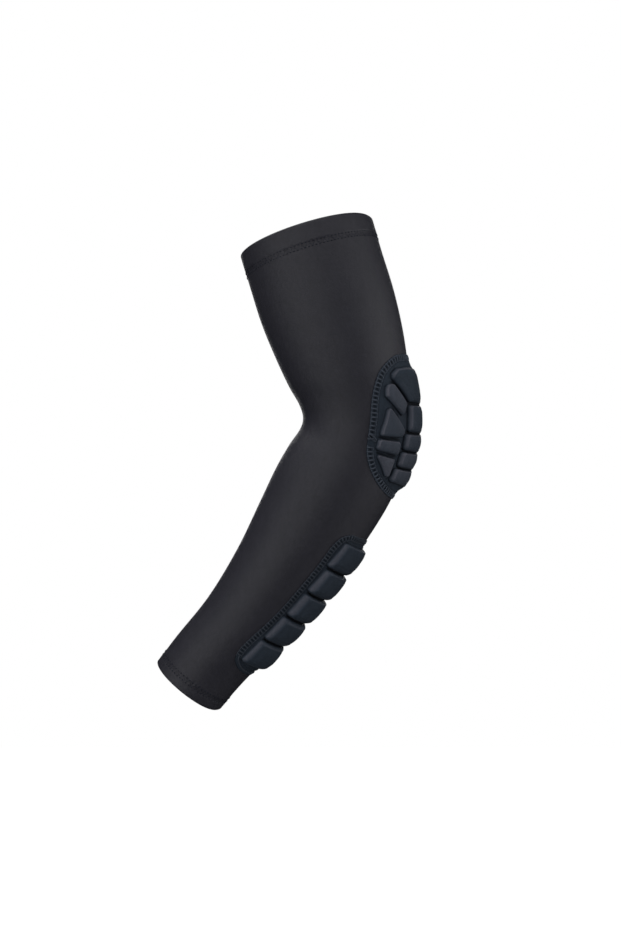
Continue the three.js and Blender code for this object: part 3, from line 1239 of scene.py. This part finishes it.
@dataclass
class Sleeve:
    """The knitted tube with its two folded hems."""

    form: ArmForm
    knit: bpy.types.Material
    thread: bpy.types.Material
    stitches: StitchTree
    wall: float = 1.2
    hem_wall: float = 2.2
    upper_hem: float = 15.8
    wrist_hem: float = 9.5
    hem_proud: float = 0.22
    fold_step: float = 0.9
    groove: float = 0.1
    groove_width: float = 1.5
    row_gap: float = 3.4
    pucker: float = 0.09
    pucker_pitch: float = 5.8
    pucker_width: float = 4.5
    pucker_drift: float = 0.8
    drift_waves: int = 3
    sides: int = 192
    ring_step: float = 1.7
    fineness: int = 4
    fine_reach: float = 4
    coarse_reach: float = 4.5
    fold_points: int = 7
    guide_points: int = 360
    upper_dip: float = 2.6
    wrist_dip: float = 1.6
    dip_width: float = 0.5
    dip_fade: float = 24
    girth: float = 270
    flat: tuple[float, float] = (0.315, 0.4)
    cut_area: float = 0.1

    @property
    def hem_lines(self) -> tuple[float, float]:
        """Where the upper and the wrist hem are sewn along the sleeve."""
        return self.upper_hem, self.form.length - self.wrist_hem

    def build(self) -> bpy.types.Object:
        """Makes the tube and sews its hems.

        Returns:
            The tube.
        """
        tube = self.make_tube()
        names = ("upper_hem_stitches", "wrist_hem_stitches")
        rows = [self.sew_hem(name, line) for name, line in zip(names, self.hem_lines)]
        register(tube, ("sleeve",))
        for row in rows:
            register(row)
        return tube

    def face_height(self, along: np.ndarray) -> np.ndarray:
        """Finds the height of the outer face: the doubled hems stand proud and their stitching sinks in.

        Args:
            along: lengths along the back line.

        Returns:
            Heights above the plain outer face.
        """
        half = self.row_gap / 2
        upper = smooth_step((self.upper_hem - half - along) / self.fold_step)
        wrist = smooth_step((along - self.form.length + self.wrist_hem - half) / self.fold_step)
        height = self.hem_proud * (upper + wrist)
        for line in self.hem_lines:
            height = height - self.groove * bell((along - line) / self.groove_width)
        return height

    def rim_shift(self, along: np.ndarray, angle: np.ndarray) -> np.ndarray:
        """Finds how far the rims dip at the back of the arm.

        Args:
            along: lengths along the back line.
            angle: turn around the arm from its back, in radians.

        Returns:
            Lengths to add along the sleeve.
        """
        turn = (angle + math.pi) % (2 * math.pi) - math.pi
        back = bell(turn / self.dip_width)
        upper = self.upper_dip * smooth_step(1 - along / self.dip_fade)
        wrist = self.wrist_dip * smooth_step(1 - (self.form.length - along) / self.dip_fade)
        return (upper - wrist) * back

    def pucker_share(self, along: np.ndarray) -> np.ndarray:
        """How much the cloth puckers, most beside the hem stitching."""
        return sum(bell((along - line) / self.pucker_width) for line in self.hem_lines)

    def profile(self) -> tuple[np.ndarray, np.ndarray, np.ndarray]:
        """Draws the wall's closed profile: outside, wrist fold, inside and upper fold.

        Returns:
            Lengths along the sleeve, heights, and the share of the hem's pucker.
        """
        end = self.form.length
        fold = self.hem_wall / 2
        lines, reach = self.hem_lines, self.fine_reach
        fine = [np.arange(line - reach, line + reach, self.ring_step / self.fineness) for line in lines]
        coarse = np.linspace(fold, end - fold, round(end / self.ring_step))
        clear = np.abs(coarse[:, None] - lines).min(axis=1) > self.coarse_reach
        outer = np.sort(np.concatenate([coarse[clear], *fine]))
        inner = np.linspace(end - fold, fold, round(end / self.ring_step / self.fineness))
        turn = np.linspace(0, math.pi, self.fold_points + 2)[1:-1]
        lining = np.where((inner < lines[0]) | (inner > lines[1]), -self.hem_wall, -self.wall)
        along = np.concatenate([outer, end - fold + fold * np.sin(turn), inner, fold - fold * np.sin(turn)])
        round_height = -fold + (fold + self.hem_proud * (1 + np.cos(turn)) / 2) * np.cos(turn)
        height = np.concatenate([self.face_height(outer), round_height, lining, round_height[::-1]])
        share = np.concatenate([self.pucker_share(outer), 0 * turn, 0 * inner, 0 * turn])
        return along, height, share

    def make_tube(self) -> bpy.types.Object:
        """Turns the profile around the arm.

        Returns:
            The tube's object.
        """
        along, height, share = self.profile()
        angle = np.arange(self.sides) / self.sides * 2 * math.pi
        waves = round(self.girth / self.pucker_pitch)
        drift = self.pucker_drift * np.sin(self.drift_waves * angle)
        ripple = self.pucker * share[:, None] * np.cos(waves * angle + drift)
        place = along[:, None] + self.rim_shift(along[:, None], angle[None])
        points = self.form.drape(place, angle[None], height[:, None] + ripple).reshape(-1, 3)
        row, side = np.meshgrid(np.arange(len(along)), np.arange(self.sides), indexing="ij")
        rows = np.stack([row, row, row + 1, row + 1], axis=-1)
        columns = np.stack([side, side + 1, side + 1, side], axis=-1)
        faces = (rows % len(along)) * self.sides + columns % self.sides
        pattern = np.stack([columns / self.sides * self.girth, along[rows % len(along)]], axis=-1) * MM
        faces = faces.reshape(-1, 4).tolist()
        return make_object("sleeve_cloth", points, faces, self.knit, pattern.reshape(-1, 2))

    def sew_hem(self, name: str, line: float) -> bpy.types.Object:
        """Sews a hem: two rows of needle thread with a looper thread between them.

        Args:
            name: the stitches' name.
            line: where the stitching runs along the sleeve.

        Returns:
            The stitches.
        """
        angle = np.arange(self.guide_points) / self.guide_points * 2 * math.pi
        meshes = []
        rows = ((-0.5, Stitch.HEM_NEEDLE), (0.5, Stitch.HEM_NEEDLE), (0, Stitch.HEM_LOOPER))
        for share, stitch in rows:
            along = np.full_like(angle, line + share * self.row_gap)
            turn = angle + (0.5 * stitch.value.pitch / self.form.radius_at(along) if share > 0 else 0)
            place = along + self.rim_shift(along, turn)
            height = self.face_height(along) + stitch.value.radius * GUIDE_LIFT
            guide = self.form.drape(place, turn, height)
            lift = self.form.outward(place, turn)
            meshes.append(self.stitches.sew(guide, lift, True, stitch, self.thread))
        return join_rows(name, meshes, self.thread)


@dataclass(frozen=True)
class Bevel:
    """How far a block leans in: at its upper and lower side, and at the two corners of its ends."""

    start: float
    stop: float
    upper: float
    lower: float


@dataclass(frozen=True)
class Block:
    """One foam block: its CAD node, its plan and bevel, how much lighter or darker its colour is painted
    for the light on it, and how high it stands.
    """

    node: str
    stations: tuple[Station, ...]
    bevel: Bevel
    painted_light_shift: float
    rise_share: float = 1


@dataclass(frozen=True)
class PlainStretch:
    """A stretch of a seam without rungs, on the near side or on both sides of the back line."""

    start: float
    stop: float
    both_sides: bool = False
    piped: bool = False

    def covers(self, line: np.ndarray) -> np.ndarray:
        """Marks the points of a line that lie in the stretch."""
        within = (line[:, 1] > self.start) & (line[:, 1] < self.stop)
        return within & (self.both_sides | (line[:, 0] > 0))


@dataclass
class FoamPad:
    """A sewn panel with moulded foam blocks under its cloth."""

    name: str
    node: str
    form: ArmForm
    cloth: bpy.types.Material
    thread: bpy.types.Material
    stitches: StitchTree
    outline: tuple[Reach, ...]
    swell: tuple[Swell, ...]
    blocks: tuple[Block, ...]
    corner: float
    dome: float
    dome_width: float
    floor_share: float
    ridge_share: float
    side_drop: float
    # Painted shade over the whole of the panel's floor and border.
    base_painted_shade: float
    rung: Stitch
    seam_middle: float
    # Painted shade between the rungs of the seam.
    seam_painted_shade: float
    # Painted light on block ends open to the seam, and painted shade on block sides facing the shoulder.
    open_ends: float
    upper_painted_shade: float
    plain: PlainStretch
    end_bow: float = 0.25
    bevel_limit: float = 0.45
    border_ramp: float = 7
    step: float = 0.75
    fill_step: float = 1.5
    panel_under_step: float = 4.5
    block_under_step: float = 3
    underside_share: float = 0.8
    ridge_width: float = 13
    # Painted shade on block sides facing the wrist and in the grooves where two blocks are close; the lane
    # along the arm keeps less of it.
    lower_painted_shade: float = 0.3
    groove_painted_shade_reach: float = 1.7
    groove_painted_shade_width: float = 1.2
    lane_open: float = 0
    lane_around: float = 31.5
    lane_width: float = 2.6
    # Painted shade along the seam and at the border's inner and outer edges: widths, darkness and place.
    sewn_width: float = 0.95
    edge_painted_shade: float = 0.6
    inner_edge: float = 5.3
    inner_width: float = 0.4
    outer_width: float = 0.25
    needle_share: float = 0.44
    piping_inset: float = 2.4
    ring: np.ndarray = field(init=False)

    def __post_init__(self) -> None:
        """Draws the panel's outline."""
        near = [(r.half, r.along) for r in self.outline]
        far = [(-half, along) for half, along in reversed(near)]
        start, stop = (0, near[0][1] - self.end_bow), (0, near[-1][1] + self.end_bow)
        self.ring = smooth_ring(np.array([*near, stop, *far, start], dtype=float), self.step)

    def build(self) -> list[bpy.types.Object]:
        """Makes the panel, its blocks and its seam.

        Returns:
            The pad's pieces.
        """
        pieces = [self.make_panel()]
        pieces += [self.make_block(block) for block in self.blocks]
        seam = self.sew_border()
        register(seam)
        return pieces + [seam]

    def rise(self, along: np.ndarray) -> np.ndarray:
        """Height of the foam's tops along the sleeve."""
        return read_off(self.swell, along)

    def half(self, along: np.ndarray) -> np.ndarray:
        """The panel's reach to each side along the sleeve."""
        return read_off(self.outline, along)

    def floor(self, plan: np.ndarray) -> np.ndarray:
        """Finds the height of the panel's cloth between the blocks.

        Args:
            plan: rows of around and along.

        Returns:
            Heights above the sleeve.
        """
        border = SEWN_BORDER[-1]
        ease = smooth_step((distance_to(self.ring, plan) - border.inset) / self.border_ramp)
        side = 1 - self.side_drop * (plan[:, 0] / self.half(plan[:, 1])) ** 2
        share = self.floor_share * side
        share = share + (self.ridge_share - share) * bell(plan[:, 0] / self.ridge_width)
        full = np.maximum(share * self.rise(plan[:, 1]), border.height)
        return border.height + (full - border.height) * ease

    def border_painted_shade(self, ring: np.ndarray, inset: float) -> np.ndarray:
        """Finds the painted shade of the border's cloth: most at its edges and between the rungs of its
        seam.

        Args:
            ring: points of the border.
            inset: their distance from the panel's edge.

        Returns:
            The painted shade at each point, from -1 to 0.
        """
        sewn = bell((inset - self.seam_middle) / self.sewn_width) * ~self.plain.covers(ring)
        inner = self.edge_painted_shade * bell((inset - self.inner_edge) / self.inner_width)
        outer = self.edge_painted_shade * bell(inset / self.outer_width)
        return -np.clip(self.base_painted_shade + self.seam_painted_shade * (sewn + inner) + outer, 0, 1)

    def floor_painted_shade(self, plan: np.ndarray) -> np.ndarray:
        """Finds the painted shade of the panel's cloth: most in the grooves where two blocks are close,
        less in the lane along the arm.

        Args:
            plan: rows of around and along.

        Returns:
            The painted shade at each point, from -1 to 0.
        """
        feet = np.sort([distance_to(self.plan_of(block).loop(0), plan) for block in self.blocks], axis=0)
        clear = smooth_step((feet[1] - self.groove_painted_shade_reach) / self.groove_painted_shade_width)
        lane = bell((np.abs(plan[:, 0]) - self.lane_around) / self.lane_width)
        return np.maximum(-1 + (1 - self.base_painted_shade) * clear, self.lane_open * lane - 1)

    def make_panel(self) -> bpy.types.Object:
        """Makes the panel: a pressed border and a raised middle.

        Returns:
            The panel's object.
        """
        flat = FlatMesh()
        loops = []
        for ridge in SEWN_BORDER:
            ring = set_in(self.ring, ridge.inset)
            height = np.full(len(ring), ridge.height)
            loops.append(flat.add(ring, height, self.border_painted_shade(ring, ridge.inset)))
        flat.bridge(loops)
        flat.fill(loops[-1], self.fill_step, lambda plan: (self.floor(plan), self.floor_painted_shade(plan)))
        foot = SEWN_BORDER[0].height
        flat.fill(loops[0], self.panel_under_step, lambda plan: (np.full(len(plan), foot), 0.0), True)
        panel = flat.to_object(f"{self.name}_panel", self.form, self.cloth)
        register(panel, (self.node,))
        return panel

    def plan_of(self, block: Block) -> RoundedPlan:
        """Draws a block's plan. The more an edge runs along the arm, the more it takes of the end bevels.

        Args:
            block: the block.

        Returns:
            Its plan.
        """
        upper = [(s.around, s.start) for s in block.stations]
        lower = [(s.around, s.stop) for s in reversed(block.stations)]
        corners = np.array(upper + lower, dtype=float)
        run = np.roll(corners, -1, axis=0) - corners
        facing = np.abs(run[:, 1]) / np.linalg.norm(run, axis=1)
        bevel = block.bevel
        ends = np.where(run[:, 1:] > 0, (bevel.upper, bevel.lower), (bevel.lower, bevel.upper))
        across = np.repeat([bevel.start, bevel.stop], len(upper))[:, None]
        insets = across + (ends - across) * facing[:, None]
        short = self.bevel_limit * np.linalg.norm(run, axis=1, keepdims=True)
        return RoundedPlan(corners, np.minimum(insets, short), self.corner, self.step)

    def make_block(self, block: Block) -> bpy.types.Object:
        """Makes a block: steep rounded sides, the one towards the wrist in painted shade, and a crowned
        top.

        Args:
            block: the block.

        Returns:
            The block's object.
        """
        plan = self.plan_of(block)
        flat = FlatMesh()
        loops = []
        for step in MOULDED_EDGE:
            ring = plan.loop(step.inset)
            floor = self.floor(ring)
            top = self.rise(ring[:, 1]) * block.rise_share - self.dome
            run = np.roll(ring, -1, axis=0) - np.roll(ring, 1, axis=0)
            run = run / np.linalg.norm(run, axis=1, keepdims=True)
            # Painted light on the sides: ends open to the seam lighter, sides facing the wrist and the
            # shoulder in painted shade, the block lighter or darker by its painted light shift, and sides
            # facing the lane along the arm less shaded.
            painted_light = step.painted_light + (step.end_painted_light - step.painted_light) * self.open_ends * run[:, 1] ** 2
            painted_light = painted_light - np.clip(-run[:, 0], 0, 1) * max(step.painted_light, self.lower_painted_shade)
            painted_light = painted_light - np.clip(run[:, 0], 0, 1) * max(step.painted_light, 0) * self.upper_painted_shade
            painted_light = painted_light + block.painted_light_shift * max(step.height, 0)
            facing_back = np.clip(-run[:, 1] * np.sign(ring[:, 0]), 0, 1)
            painted_light = np.maximum(painted_light, self.lane_open * facing_back - 1)
            loops.append(flat.add(ring, floor + (top - floor) * step.height, painted_light))
        flat.bridge(loops)
        rim = flat.plan[loops[-1]]

        def crown(inside: np.ndarray) -> tuple[np.ndarray, np.ndarray]:
            """Shapes the block's top.

            Args:
                inside: rows of around and along.

            Returns:
                Height and painted light of each point.
            """
            share = np.clip(distance_to(rim, inside) / self.dome_width, 0, 1)
            height = self.rise(inside[:, 1]) * block.rise_share - self.dome * (1 - share) ** 2
            return height, MOULDED_EDGE[-1].painted_light * (1 - share) + block.painted_light_shift

        def underside(inside: np.ndarray) -> tuple[np.ndarray, float]:
            """Height and painted light of the block's underside, all in painted shade."""
            return self.floor(inside) * self.underside_share, -1.0

        flat.fill(loops[-1], self.fill_step, crown)
        flat.fill(loops[0], self.block_under_step, underside, True)
        made = flat.to_object(f"{block.node}_foam", self.form, self.cloth)
        register(made, (block.node,))
        return made

    def seam_guide(self, inset: float) -> tuple[np.ndarray, np.ndarray]:
        """Draws a guide line inside the panel's edge.

        Args:
            inset: distance from the edge.

        Returns:
            The line's sewn part and its plain part, both in the flat pattern.
        """
        line = set_in(self.ring, inset)
        plain = self.plain.covers(line)
        last = int(np.flatnonzero(plain & ~np.roll(plain, -1))[0])
        line, plain = np.roll(line, -last - 1, axis=0), np.roll(plain, -last - 1)
        return line[~plain], line[plain]

    def sew_border(self) -> bpy.types.Object:
        """Sews the panel's border: rungs, a needle row at each of their ends, and piping if it has any.

        Returns:
            The stitches.
        """
        reach = self.rung.value.length * self.needle_share
        rows = [(self.seam_middle, self.rung, 0)]
        rows += [(self.seam_middle + side * reach, Stitch.SEAM_NEEDLE, 0) for side in (-1, 1)]
        if self.plain.piped:
            rows.append((self.piping_inset, Stitch.PIPING, 1))
        meshes = []
        for inset, stitch, part in rows:
            plan = self.seam_guide(inset)[part]
            height = read_off(SEAM_BORDER, inset) + stitch.value.radius * GUIDE_LIFT
            guide = self.form.lay(plan, np.full(len(plan), height))
            meshes.append(self.stitches.sew(guide, self.form.lift(plan), False, stitch, self.thread))
        return join_rows(f"{self.name}_seam_stitches", meshes, self.thread)


@dataclass
class ThreadKnot:
    """The small tangle of thread where the elbow seam starts and ends."""

    form: ArmForm
    thread: bpy.types.Material
    around: float = 55.4
    along: float = 176.2
    reach: float = 2.8
    height: float = 1.6
    sway: float = 0.5
    radius: float = 0.34
    points: int = 72

    def build(self) -> bpy.types.Object:
        """Makes the tangle: loops that cross one another and a loose end.

        Returns:
            The tangle's object.
        """
        turn = np.linspace(0, 1, self.points) * 2 * math.pi
        # Uneven counts of waves, so that the loops cross and don't repeat.
        across = np.cos(2.4 * turn) * (1 - 0.04 * turn) + 0.35 * np.sin(1.3 * turn)
        down = np.sin(1.7 * turn + 0.5) + 0.3 * np.cos(3.1 * turn)
        plan = np.column_stack([self.around + self.reach * across, self.along + self.reach * down])
        place = self.form.lay(plan, self.height + self.sway * np.sin(3.6 * turn + 1))
        curve = bpy.data.curves.new("knot", "CURVE")
        curve.dimensions = "3D"
        curve.bevel_depth, curve.bevel_resolution, curve.use_fill_caps = self.radius * MM, 2, True
        strand = curve.splines.new("POLY")
        strand.points.add(self.points - 1)
        strand.points.foreach_set("co", np.column_stack([place, np.ones(self.points)]).ravel())
        line = bpy.data.objects.new("knot", curve)
        mesh = bpy.data.meshes.new_from_object(line)
        bpy.data.objects.remove(line)
        bpy.data.curves.remove(curve)
        made = join_rows("elbow_seam_knot", [mesh], self.thread)
        register(made)
        return made


@dataclass(frozen=True)
class SoftBox:
    """A large soft light: its place, its size, its power and what it looks at."""

    name: str
    place: tuple[float, float, float]
    width: float
    height: float
    power: float
    aim: tuple[float, float, float] = (0, 0, -0.17)

    def build(self) -> None:
        """Adds the light to the scene."""
        lamp = bpy.data.lights.new(self.name, "AREA")
        lamp.shape = "RECTANGLE"
        lamp.size, lamp.size_y, lamp.energy = self.width, self.height, self.power
        box = add_to_scene(self.name, lamp)
        box.location, box.visible_camera = self.place, False
        box.rotation_euler = (Vector(self.aim) - Vector(self.place)).to_track_quat("-Z", "Y").to_euler()


@dataclass
class Studio:
    """Camera, soft lights and a pale floor far below the sleeve."""

    camera_place: tuple[float, float, float] = (0.003375, -0.78, -0.171375)
    sensor: float = 36
    lens: float = 40.215
    floor_drop: float = -1.2
    floor_size: float = 6
    ambient: float = 0.36
    lights: tuple[SoftBox, ...] = (
        SoftBox("key", (-0.609, -0.903, -0.017), 0.4, 1, 2.7),
        SoftBox("side", (1.065, -0.15, 0.059), 0.8, 0.8, 3.4),
        SoftBox("left", (-0.938, -0.542, -0.361), 0.4, 0.8, 1.4),
        SoftBox("top", (-0.548, 0.048, 0.783), 0.5, 0.5, 3.4),
        SoftBox("front", (0.118, -0.667, 0.697), 0.5, 0.5, 2.7),
        SoftBox("back", (0, 1.076, 0.059), 0.8, 0.8, 4),
        SoftBox("low", (0.887, -0.156, -0.801), 0.6, 0.6, 1),
    )

    def build(self) -> None:
        """Sets up the camera, the lights, the floor and the world."""
        scene = bpy.context.scene
        lens = bpy.data.cameras.new("camera")
        lens.sensor_width, lens.lens = self.sensor, self.lens
        lens.dof.use_dof = False
        camera = add_to_scene("camera", lens)
        camera.location, camera.rotation_euler = self.camera_place, (math.radians(90), 0, 0)
        scene.camera = camera
        scene.view_settings.view_transform = "Standard"
        for light in self.lights:
            light.build()
        self.build_floor()
        self.build_world(scene)

    def build_floor(self) -> None:
        """Lays the pale floor."""
        half = self.floor_size / 2
        corners = [(-half, -half), (half, -half), (half, half), (-half, half)]
        mesh = bpy.data.meshes.new("floor")
        mesh.from_pydata([(x, y, self.floor_drop) for x, y in corners], [], [(0, 1, 2, 3)])
        pale, board, shader = new_material("pale_floor")
        glow = {"Emission Color": (1, 1, 1, 1), "Emission Strength": 1}
        board.wire(shader, {"Base Color": (0.95, 0.95, 0.95, 1), "Roughness": 0.9, **glow})
        mesh.materials.append(pale)
        floor = add_to_scene("floor", mesh)
        floor.visible_diffuse = floor.visible_glossy = False

    def build_world(self, scene: bpy.types.Scene) -> None:
        """Makes the surroundings white to the camera and dimmer to the cloth.

        Args:
            scene: the scene.
        """
        world = scene.world = bpy.data.worlds.new("studio")
        world.use_nodes = True
        board = NodeBoard(world.node_tree)
        shade = world.node_tree.nodes["Background"]
        path = board.add("ShaderNodeLightPath")
        spread = board.math("MULTIPLY", path.outputs["Is Camera Ray"], 1 - self.ambient)
        board.feed(shade.inputs["Strength"], board.math("ADD", spread, self.ambient))
        shade.inputs["Color"].default_value = (1, 1, 1, 1)
        world.cycles_visibility.glossy = False


CROWN_BEVEL = Bevel(start=2, stop=1.8, upper=12, lower=4.4)
SPINE_BEVEL = Bevel(start=1.2, stop=2.2, upper=2.6, lower=2.6)
SIDE_BEVEL = Bevel(start=1, stop=2.2, upper=1.9, lower=1.9)
FOREARM_BEVELS = tuple(
    Bevel(start=start, stop=stop, upper=3.7, lower=4.2)
    for start, stop in ((1.4, 5.4), (1.4, 4.6), (1.4, 4.4), (3.2, 4.4), (2.8, 3.6))
)
# How much lighter or darker each block's colour is painted, for the light that falls on it.
CROWN_PAINTED_LIGHT = -0.15
SPINE_PAINTED_LIGHT = (0, 0.1, 0.3, 0.28)
SIDE_PAINTED_LIGHT = (0.35, 0.2, 0.3, 0.6)
FOREARM_PAINTED_LIGHT = -0.15
SIDE_RISE = 0.85


def elbow_blocks() -> tuple[Block, ...]:
    """Lists the blocks of the elbow pad, on both sides of the back line.

    Returns:
        The blocks.
    """
    blocks = [Block("elbow_block_crown", across_back(CROWN), CROWN_BEVEL, CROWN_PAINTED_LIGHT)]
    for number, (stations, painted_light_shift) in enumerate(zip(SPINE_BLOCKS, SPINE_PAINTED_LIGHT), start=1):
        blocks.append(Block(f"elbow_block_spine_{number}", across_back(stations), SPINE_BEVEL, painted_light_shift))
    for number, (stations, painted_light_shift) in enumerate(zip(SIDE_BLOCKS, SIDE_PAINTED_LIGHT), start=1):
        blocks.append(Block(f"elbow_block_near_{number}", stations, SIDE_BEVEL, painted_light_shift, SIDE_RISE))
        blocks.append(Block(f"elbow_block_far_{number}", mirrored(stations), SIDE_BEVEL, painted_light_shift, SIDE_RISE))
    return tuple(blocks)


def forearm_blocks() -> tuple[Block, ...]:
    """Lists the blocks of the forearm pad.

    Returns:
        The blocks.
    """
    blocks = []
    for number, (stations, bevel) in enumerate(zip(FOREARM_BLOCKS, FOREARM_BEVELS), start=1):
        blocks.append(Block(f"forearm_block_{number}", stations, bevel, FOREARM_PAINTED_LIGHT))
    return tuple(blocks)


def main() -> None:
    """Builds the sleeve on the frame, sets up the studio and notes the sizes."""
    logging.basicConfig(level=logging.INFO, format="%(message)s")
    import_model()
    form = ArmForm(ARM_SECTIONS)
    effects = SurfaceEffects()
    stitches = StitchTree()
    knit, cloth = SLEEVE_KNIT.build(effects), PAD_CLOTH.build(effects)
    elbow_thread = ELBOW_THREAD.build(effects)
    Sleeve(form, knit, HEM_THREAD.build(effects), stitches).build()
    FoamPad(
        name="elbow",
        node="elbow_backing",
        form=form,
        cloth=cloth,
        thread=elbow_thread,
        stitches=stitches,
        outline=ELBOW_OUTLINE,
        swell=ELBOW_SWELL,
        blocks=elbow_blocks(),
        corner=2.2,
        dome=0.6,
        dome_width=4.5,
        floor_share=0.44,
        ridge_share=0.82,
        side_drop=0.4,
        base_painted_shade=0.14,
        rung=Stitch.ELBOW_RUNG,
        seam_middle=2.9,
        seam_painted_shade=0.7,
        open_ends=0.3,
        upper_painted_shade=0,
        plain=PlainStretch(start=178.5, stop=186),
        lane_open=0.85,
    ).build()
    ThreadKnot(form, elbow_thread).build()
    FoamPad(
        name="forearm",
        node="forearm_backing",
        form=form,
        cloth=cloth,
        thread=FOREARM_THREAD.build(effects),
        stitches=stitches,
        outline=FOREARM_OUTLINE,
        swell=FOREARM_SWELL,
        blocks=forearm_blocks(),
        corner=2.4,
        dome=0.8,
        dome_width=6,
        floor_share=0.38,
        ridge_share=0.42,
        side_drop=0.35,
        base_painted_shade=0.3,
        rung=Stitch.FOREARM_RUNG,
        seam_middle=2.1,
        seam_painted_shade=0.35,
        open_ends=1,
        upper_painted_shade=0.5,
        plain=PlainStretch(start=374, stop=390, both_sides=True, piped=True),
    ).build()
    Studio().build()


if __name__ == "__main__":
    main()
